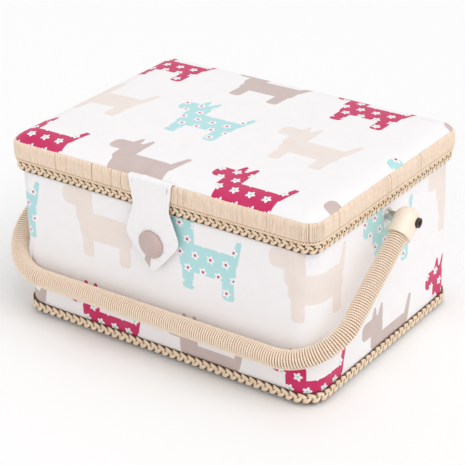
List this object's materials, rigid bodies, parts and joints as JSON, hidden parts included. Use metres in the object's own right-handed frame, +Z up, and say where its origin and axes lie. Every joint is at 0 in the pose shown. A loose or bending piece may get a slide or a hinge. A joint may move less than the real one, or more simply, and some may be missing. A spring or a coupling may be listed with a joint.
{
  "type": "sewing box",
  "caption": "Fabric-covered sewing box with a padded hinged lid, button flap, swinging rope handle and lift-out trays.",
  "frame": {"origin": "on the floor under the middle of the whole box, with the handle leaning on the front", "axes": "+X along the front to the right, +Y to the back, +Z up"},
  "size_m": [0.3108, 0.2103, 0.1475],
  "materials": {
    "printed_fabric": "printed cotton",
    "lining_cloth": "plain cotton",
    "wadding": "soft wadding",
    "card_board": "raw fibreboard",
    "pale_wood": "clear satin varnish",
    "straw_braid": "plaited paper straw",
    "straw_wrap": "wrapped paper straw",
    "handle_cord": "wound paper cord",
    "cane_core": "raw cane",
    "steel": "zinc plated",
    "brass_plate": "brass plated",
    "foot_plastic": "satin",
    "tray_plastic": "semi gloss",
    "button_fabric": "plain weave",
    "ribbon": "satin ribbon"
  },
  "bodies": {
    "box": {"base_cloth": "lining_cloth", "base_board": "card_board", "front_board": "card_board", "back_board": "card_board", "left_board": "card_board", "right_board": "card_board", "front_pad": "wadding", "back_pad": "wadding", "left_pad": "wadding", "right_pad": "wadding", "body_cover": "printed_fabric", "box_lining": "lining_cloth", "base_braid": "straw_braid", "foot_front_left": "foot_plastic", "foot_front_right": "foot_plastic", "foot_back_left": "foot_plastic", "foot_back_right": "foot_plastic", "front_ledge": "pale_wood", "back_ledge": "pale_wood", "catch_plate": "steel", "pivot_bolts": "steel", "pivot_spacers": "steel", "pivot_washers": "steel", "pivot_nuts": "steel", "hinge_box_leaf_left": "brass_plate", "hinge_box_leaf_right": "brass_plate", "hinge_pin_left": "brass_plate", "hinge_pin_right": "brass_plate", "hinge_screws_box": "brass_plate", "stay_tacks_box": "steel", "stay_ribbon_left": "ribbon", "stay_ribbon_right": "ribbon"},
    "lid": {"lid_board": "card_board", "lid_rail_front": "pale_wood", "lid_rail_back": "pale_wood", "lid_rail_left": "pale_wood", "lid_rail_right": "pale_wood", "lid_pad": "wadding", "lid_cover": "printed_fabric", "rim_wrap": "straw_wrap", "rim_braid": "straw_braid", "lid_lining": "lining_cloth", "pincushion": "lining_cloth", "lid_pocket": "lining_cloth", "hinge_lid_leaf_left": "brass_plate", "hinge_lid_leaf_right": "brass_plate", "hinge_screws_lid": "brass_plate", "flap_tape": "ribbon", "stay_tacks_lid": "steel"},
    "flap": {"flap_cover": "printed_fabric", "flap_stiffener": "card_board", "button_shell": "steel", "button_cover": "button_fabric", "flap_magnet": "steel"},
    "handle": {"handle_core": "cane_core", "handle_wrap": "handle_cord", "handle_cap_left": "pale_wood", "handle_cap_right": "pale_wood"},
    "left_tray": {"tray_left": "tray_plastic"},
    "right_tray": {"tray_right": "tray_plastic"}
  },
  "joints": [
    {"name": "lid_hinge", "type": "hinge", "parent": "box", "child": "lid", "pos_m": [0, 0.10345, 0.1158], "axis": [-1, 0, 0], "range_deg": [0, 105], "deforming": ["stay_ribbon_left", "stay_ribbon_right"]},
    {"name": "handle_swing", "type": "hinge", "parent": "box", "child": "handle", "pos_m": [0, 0.00665, 0.11], "axis": [1, 0, 0], "range_deg": [-248, 0]},
    {"name": "flap_fold", "type": "hinge", "parent": "lid", "child": "flap", "pos_m": [0, -0.09225, 0.1425], "axis": [-1, 0, 0], "range_deg": [0, 160]},
    {"name": "tray_left_lift", "type": "slide", "parent": "box", "child": "left_tray", "axis": [0, 0, 1], "range_m": [0, 0.01]},
    {"name": "tray_right_lift", "type": "slide", "parent": "box", "child": "right_tray", "axis": [0, 0, 1], "range_m": [0, 0.01]}
  ]
}
